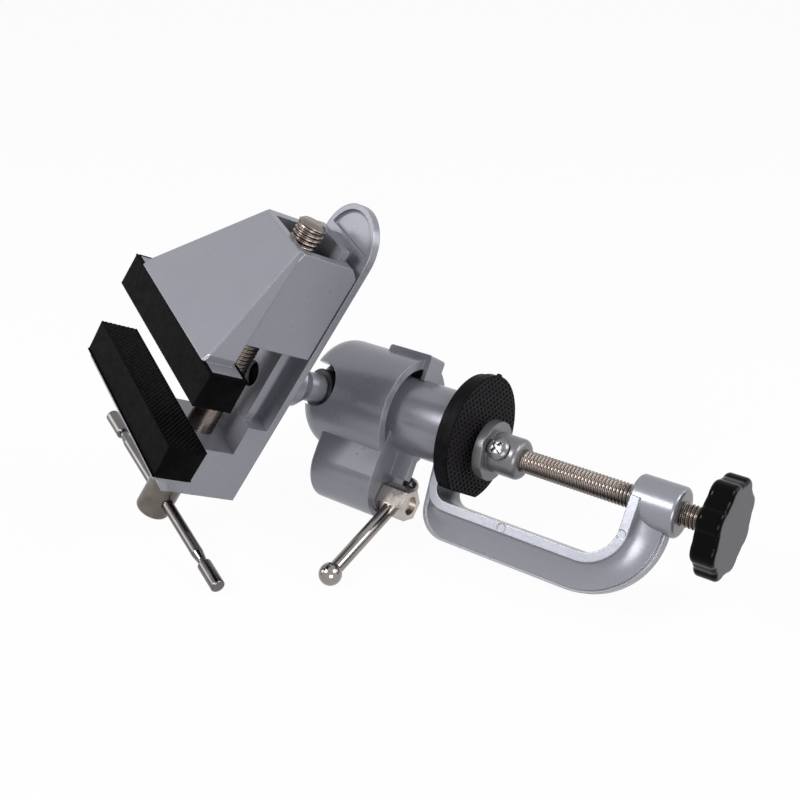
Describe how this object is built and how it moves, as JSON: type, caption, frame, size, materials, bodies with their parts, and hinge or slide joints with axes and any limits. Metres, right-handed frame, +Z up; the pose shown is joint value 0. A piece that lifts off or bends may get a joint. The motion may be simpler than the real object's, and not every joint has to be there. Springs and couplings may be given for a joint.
{
  "type": "swivel bench vise",
  "caption": "Small table vise with rubber-capped jaws on a lockable ball joint, carried by a C-shaped bench clamp with a padded seat and a screw foot.",
  "frame": {"origin": "middle of the bench pad's lower face, on the axis of the post", "axes": "+Z up the post to the ball, +X from the clamp's spine towards the middle of the bench"},
  "size_m": [0.1371, 0.1168, 0.2266],
  "materials": {
    "casting": "satin silver-grey paint on a zinc or aluminium casting",
    "rubber": "matt black moulded rubber",
    "knob": "glossy black moulding",
    "nickel": "nickel-plated steel, slightly warm",
    "chrome": "bright chrome plate",
    "screw": "zinc-plated steel",
    "brass": "plain turned brass",
    "ball": "turned steel, lightly oiled"
  },
  "bodies": {
    "clamp": {"clamp_frame": "casting", "bench_pad": "rubber", "ball_cap": "casting"},
    "foot": {"clamp_foot": "casting", "foot_screw": "screw"},
    "spindle": {"clamp_screw": "nickel", "knob": "knob", "knob_insert": "brass"},
    "lock": {"lock_screw": "nickel"},
    "lever": {"lock_lever": "chrome", "lever_ball_large": "chrome", "lever_ball_small": "chrome"},
    "ball": {"swivel_ball": "ball", "ball_screw": "screw"},
    "bed": {"vise_bed": "casting", "fixed_jaw_cap": "rubber", "thrust_pin": "screw"},
    "jaw": {"movable_jaw": "casting", "movable_jaw_cap": "rubber", "jaw_nut": "brass"},
    "lead": {"lead_screw": "nickel", "screw_head": "nickel"},
    "cross_bar": {"t_bar": "chrome", "t_bar_cap_upper": "chrome", "t_bar_cap_lower": "chrome"}
  },
  "joints": [
    {"name": "clamp_travel", "type": "slide", "parent": "clamp", "child": "foot", "axis": [0, 0, 1], "range_m": [-0.04, 0.003]},
    {"name": "clamp_screw_turn", "type": "hinge", "parent": "foot", "child": "spindle", "pos_m": [-0.0027, 0, 0], "axis": [0, 0, 1], "range_deg": [-11520, 864]},
    {"name": "lock_screw_turn", "type": "hinge", "parent": "clamp", "child": "lock", "pos_m": [-0.0305, 0, 0.024], "axis": [0, 0, 1], "range_deg": [-8, 90]},
    {"name": "lock_lever_slide", "type": "slide", "parent": "lock", "child": "lever", "axis": [-0.7443, -0.6678, 0], "range_m": [-0.0298, 0.0003]},
    {"name": "head_tilt", "type": "hinge", "parent": "clamp", "child": "ball", "pos_m": [0, 0, 0.055], "axis": [0.9945, -0.1045, 0], "range_deg": [-72.7, 1]},
    {"name": "head_spin", "type": "hinge", "parent": "ball", "child": "bed", "pos_m": [0, 0, 0.055], "axis": [-0.0998, -0.9495, 0.2974], "continuous": true},
    {"name": "jaw_travel", "type": "slide", "parent": "bed", "child": "jaw", "axis": [0.8967, -0.2154, -0.3868], "range_m": [-0.0152, 0.025]},
    {"name": "lead_screw_turn", "type": "hinge", "parent": "bed", "child": "lead", "pos_m": [-0.00555, -0.05279, 0.07153], "axis": [0.8967, -0.2154, -0.3868], "range_deg": [-6000, 3648]},
    {"name": "cross_bar_slide", "type": "slide", "parent": "lead", "child": "cross_bar", "axis": [0.4205, 0.141, 0.8963], "range_m": [-0.0275, 0.0297]}
  ],
  "couplings": [
    {"joint": "clamp_screw_turn", "follows": "clamp_travel", "rad_per_m": 5026.5},
    {"joint": "lead_screw_turn", "follows": "jaw_travel", "rad_per_m": -4188.8}
  ]
}
